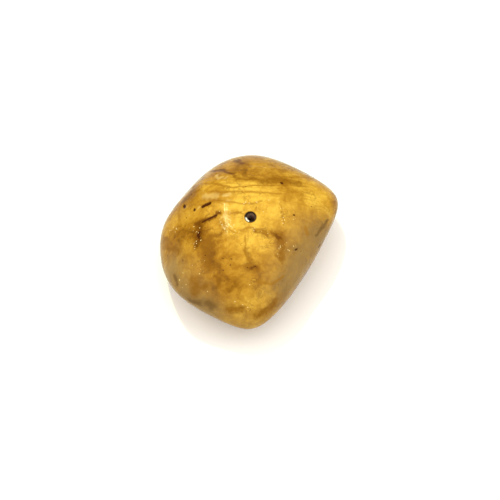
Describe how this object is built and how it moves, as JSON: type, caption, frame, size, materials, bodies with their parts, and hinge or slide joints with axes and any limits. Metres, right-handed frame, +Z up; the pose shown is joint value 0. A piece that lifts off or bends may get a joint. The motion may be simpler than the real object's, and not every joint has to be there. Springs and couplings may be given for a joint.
{
  "type": "polished jasper pebble",
  "caption": "Tumbled yellow jasper pebble, a rounded blunt triangle from above with brown veins, a hole drilled through its crown, and a worn flat underneath to rest on.",
  "frame": {"origin": "under the middle of the stone's box, on the surface that it rests on", "axes": "+Z up through the drilled crown, -Y towards the narrow front tip, +X towards the blunt right corner"},
  "size_m": [0.0404, 0.0434, 0.0225],
  "materials": {
    "jasper": "tumbled and polished to a wet, slightly pitted gloss, egg-yolk yellow with brown veins and dark pits"
  },
  "bodies": {
    "root": {"pebble": "jasper"}
  },
  "joints": []
}
